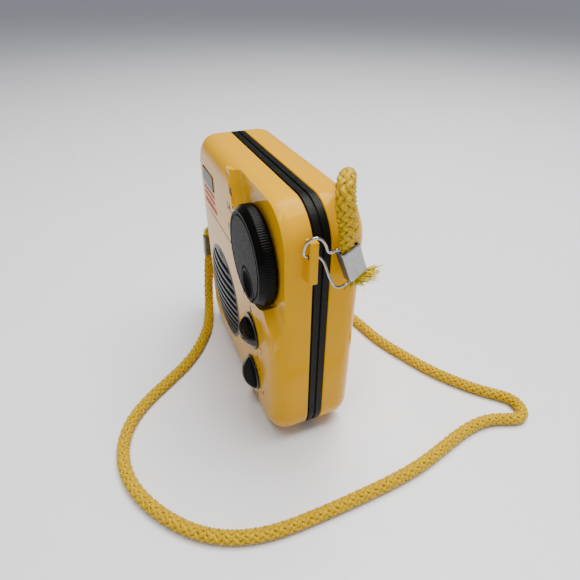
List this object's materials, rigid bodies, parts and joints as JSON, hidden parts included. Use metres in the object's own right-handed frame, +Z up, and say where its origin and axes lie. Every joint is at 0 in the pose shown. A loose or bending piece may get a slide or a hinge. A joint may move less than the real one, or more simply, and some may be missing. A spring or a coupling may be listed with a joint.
{
  "type": "transistor pocket radio",
  "caption": "Pocket radio in a rounded plastic case with a rubber band, large ribbed tuning knob, speaker grille, two pointer knobs, battery door and a clipped neck cord.",
  "frame": {"origin": "centre of the flat bottom face of the front shell, on which the radio stands, 6.5 mm in front of the case's middle plane", "axes": "+Z up, -Y out of the front panel with the knobs and grille, +X to the right-hand side seen from the front (the side with the upper strap lug)"},
  "size_m": [0.1513, 0.1806, 0.1226],
  "materials": {
    "yellow_plastic": "gloss",
    "black_rubber": "satin",
    "black_plastic": "gloss",
    "dark_grey_plastic": "satin",
    "plate_metal": "satin",
    "nickel": "polished",
    "cord_yarn": "woven",
    "steel": "satin",
    "magnet": "matt",
    "cone_paper": "matt",
    "felt": "matt",
    "board_laminate": "matt",
    "ferrite": "matt",
    "copper_winding": "satin",
    "tinned_can": "satin",
    "capacitor_sleeve": "gloss",
    "chip_resin": "matt",
    "resistor_body": "matt",
    "clear_plastic": "gloss",
    "cell_jacket": "gloss"
  },
  "bodies": {
    "case": {"front_shell": "yellow_plastic", "rear_shell": "yellow_plastic", "gasket_band": "black_rubber", "name_plate": "plate_metal", "speaker_grille": "black_plastic", "tuning_capacitor": "clear_plastic", "band_switch": "dark_grey_plastic", "volume_control": "dark_grey_plastic", "speaker_ring": "felt", "speaker_frame": "steel", "speaker_magnet": "magnet", "circuit_board": "board_laminate", "board_screws": "steel", "case_screws": "steel", "coil_cans": "tinned_can", "electrolytic_capacitors": "capacitor_sleeve", "amplifier_chip": "chip_resin", "resistors": "resistor_body", "ferrite_rod": "ferrite", "antenna_coil": "copper_winding", "rod_holders": "dark_grey_plastic", "battery_cells": "cell_jacket", "battery_springs": "steel", "battery_plates": "steel", "door_hinge_pin": "steel", "neck_cord": "cord_yarn"},
    "tuning": {"tuning_knob": "black_plastic", "tuning_shaft": "steel"},
    "band": {"band_knob": "black_plastic", "band_shaft": "dark_grey_plastic"},
    "volume": {"volume_knob": "black_plastic", "volume_shaft": "dark_grey_plastic"},
    "door": {"battery_door": "yellow_plastic", "battery_door_seal": "black_rubber"},
    "right_clip": {"right_clip_wire": "nickel", "right_ferrule": "nickel", "right_cord_end": "cord_yarn"},
    "left_clip": {"left_clip_wire": "nickel", "left_ferrule": "nickel", "left_cord_end": "cord_yarn"},
    "cone": {"speaker_cone": "cone_paper"}
  },
  "joints": [
    {"name": "tuning_turn", "type": "hinge", "parent": "case", "child": "tuning", "pos_m": [0.0294, -0.0115, 0.0842], "axis": [0, 1, 0], "range_deg": [-90, 90]},
    {"name": "band_turn", "type": "hinge", "parent": "case", "child": "band", "pos_m": [0.0261, -0.0115, 0.0458], "axis": [0, 1, 0], "range_deg": [-60, 30]},
    {"name": "volume_turn", "type": "hinge", "parent": "case", "child": "volume", "pos_m": [0.0252, -0.0115, 0.0203], "axis": [0, 1, 0], "range_deg": [-110, 160]},
    {"name": "door_swing", "type": "hinge", "parent": "case", "child": "door", "pos_m": [0, 0.0229, 0.0116], "axis": [-1, 0, 0], "range_deg": [0, 90]},
    {"name": "right_clip_swing", "type": "hinge", "parent": "case", "child": "right_clip", "pos_m": [0.055, 0.00155, 0.0954], "axis": [0, 1, 0], "range_deg": [-30, 12]},
    {"name": "left_clip_swing", "type": "hinge", "parent": "case", "child": "left_clip", "pos_m": [-0.055, 0.00155, 0.05], "axis": [0, 1, 0], "range_deg": [-12, 20]},
    {"name": "cone_travel", "type": "slide", "parent": "case", "child": "cone", "axis": [0, 1, 0], "range_m": [-0.0003, 0.0003], "stiffness_N_per_m": 200}
  ]
}
